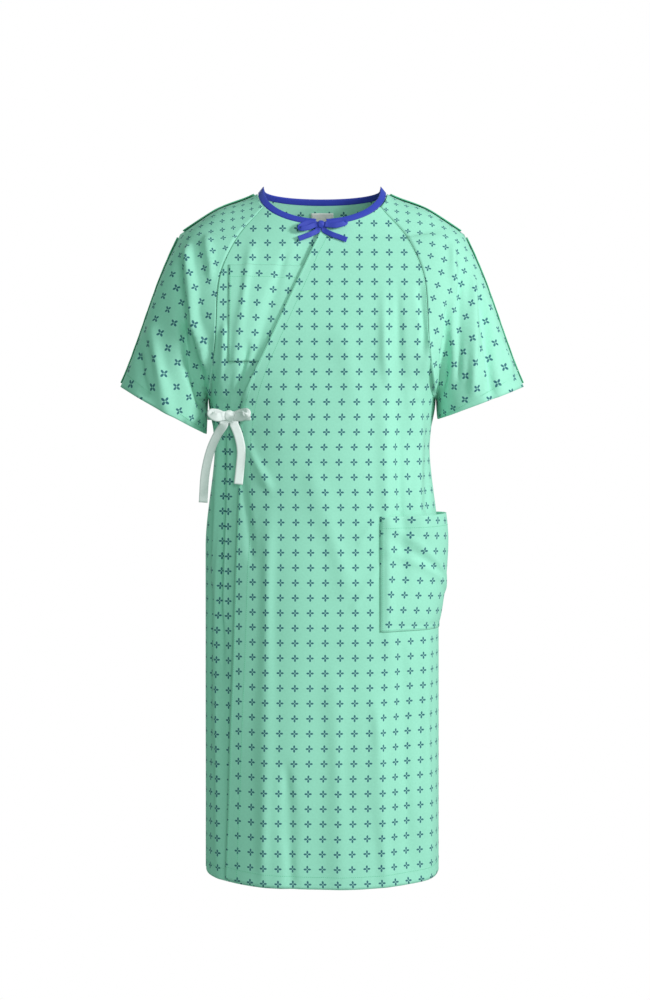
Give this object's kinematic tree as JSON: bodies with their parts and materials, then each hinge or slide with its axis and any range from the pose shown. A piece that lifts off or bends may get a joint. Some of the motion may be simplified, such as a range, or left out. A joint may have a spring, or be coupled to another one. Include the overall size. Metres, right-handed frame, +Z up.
{
  "type": "patient gown",
  "caption": "Knee-length front-wrap patient gown with raglan sleeves, snap plackets, tied neck and waist, hip and chest pockets.",
  "frame": {"origin": "midway between the two neck points, on top of the wearer's shoulders", "axes": "+X towards the wearer's left, +Y towards the wearer's back, +Z up along the wearer's spine"},
  "size_m": [0.701, 0.2572, 1.1904],
  "materials": {
    "printed_cloth": "light green poly-cotton with a small dark cross print",
    "blue_tape": "royal blue folded binding tape",
    "white_tape": "white twill tape",
    "label_tape": "plain white woven label",
    "snap_metal": "satin nickel-plated snap halves"
  },
  "bodies": {
    "gown": {"back_panel": "printed_cloth", "right_front_panel": "printed_cloth", "left_front_panel": "printed_cloth", "hip_pocket": "printed_cloth", "chest_pocket": "printed_cloth", "right_shoulder_front": "printed_cloth", "right_shoulder_back": "printed_cloth", "left_shoulder_front": "printed_cloth", "left_shoulder_back": "printed_cloth", "right_neck_binding": "blue_tape", "left_neck_binding": "blue_tape", "back_neck_binding": "blue_tape", "side_tie": "white_tape", "care_label": "label_tape", "right_shoulder_snap_stud_1": "snap_metal", "right_shoulder_snap_stud_2": "snap_metal", "right_shoulder_snap_stud_3": "snap_metal", "left_shoulder_snap_stud_1": "snap_metal", "left_shoulder_snap_stud_2": "snap_metal", "left_shoulder_snap_stud_3": "snap_metal"},
    "wrap_flap": {"wrap_panel": "printed_cloth", "wrap_neck_binding": "blue_tape", "neck_bow_knot": "blue_tape", "neck_bow_right_loop": "blue_tape", "neck_bow_left_loop": "blue_tape", "neck_bow_right_tail": "blue_tape", "neck_bow_left_tail": "blue_tape", "waist_bow_knot": "white_tape", "waist_bow_right_loop": "white_tape", "waist_bow_left_loop": "white_tape", "waist_bow_right_tail": "white_tape", "waist_bow_left_tail": "white_tape", "wrap_tie": "white_tape"},
    "right_sleeve": {"right_sleeve_front": "printed_cloth", "right_sleeve_back": "printed_cloth", "right_sleeve_snap_stud_1": "snap_metal", "right_sleeve_snap_stud_2": "snap_metal"},
    "left_sleeve": {"left_sleeve_front": "printed_cloth", "left_sleeve_back": "printed_cloth", "left_sleeve_snap_stud_1": "snap_metal", "left_sleeve_snap_stud_2": "snap_metal"},
    "right_shoulder_flap": {"right_shoulder_flap": "printed_cloth", "right_shoulder_snap_cap_1": "snap_metal", "right_shoulder_snap_cap_2": "snap_metal", "right_shoulder_snap_cap_3": "snap_metal"},
    "left_shoulder_flap": {"left_shoulder_flap": "printed_cloth", "left_shoulder_snap_cap_1": "snap_metal", "left_shoulder_snap_cap_2": "snap_metal", "left_shoulder_snap_cap_3": "snap_metal"},
    "right_sleeve_flap": {"right_sleeve_flap": "printed_cloth", "right_sleeve_snap_cap_1": "snap_metal", "right_sleeve_snap_cap_2": "snap_metal"},
    "left_sleeve_flap": {"left_sleeve_flap": "printed_cloth", "left_sleeve_snap_cap_1": "snap_metal", "left_sleeve_snap_cap_2": "snap_metal"}
  },
  "joints": [
    {"name": "wrap_swing", "type": "hinge", "parent": "gown", "child": "wrap_flap", "pos_m": [0.09, -0.1305, -0.4], "axis": [0, 0, 1], "range_deg": [0, 75]},
    {"name": "right_sleeve_lift", "type": "hinge", "parent": "gown", "child": "right_sleeve", "pos_m": [-0.23645, 0, -0.088], "axis": [0, 1, 0], "range_deg": [0, 50]},
    {"name": "right_shoulder_unsnap", "type": "hinge", "parent": "gown", "child": "right_shoulder_flap", "pos_m": [-0.17063, 0, -0.04073], "axis": [0.8377, 0, 0.5461], "range_deg": [0, 100]},
    {"name": "right_sleeve_unsnap", "type": "hinge", "parent": "right_sleeve", "child": "right_sleeve_flap", "pos_m": [-0.29701, 0, -0.21341], "axis": [0.4068, 0, 0.9135], "range_deg": [0, 100]},
    {"name": "left_sleeve_lift", "type": "hinge", "parent": "gown", "child": "left_sleeve", "pos_m": [0.23645, 0, -0.088], "axis": [0, -1, 0], "range_deg": [0, 50]},
    {"name": "left_shoulder_unsnap", "type": "hinge", "parent": "gown", "child": "left_shoulder_flap", "pos_m": [0.17063, 0, -0.04073], "axis": [0.8377, 0, -0.5461], "range_deg": [0, 100]},
    {"name": "left_sleeve_unsnap", "type": "hinge", "parent": "left_sleeve", "child": "left_sleeve_flap", "pos_m": [0.29701, 0, -0.21341], "axis": [0.4068, 0, -0.9135], "range_deg": [0, 100]}
  ]
}
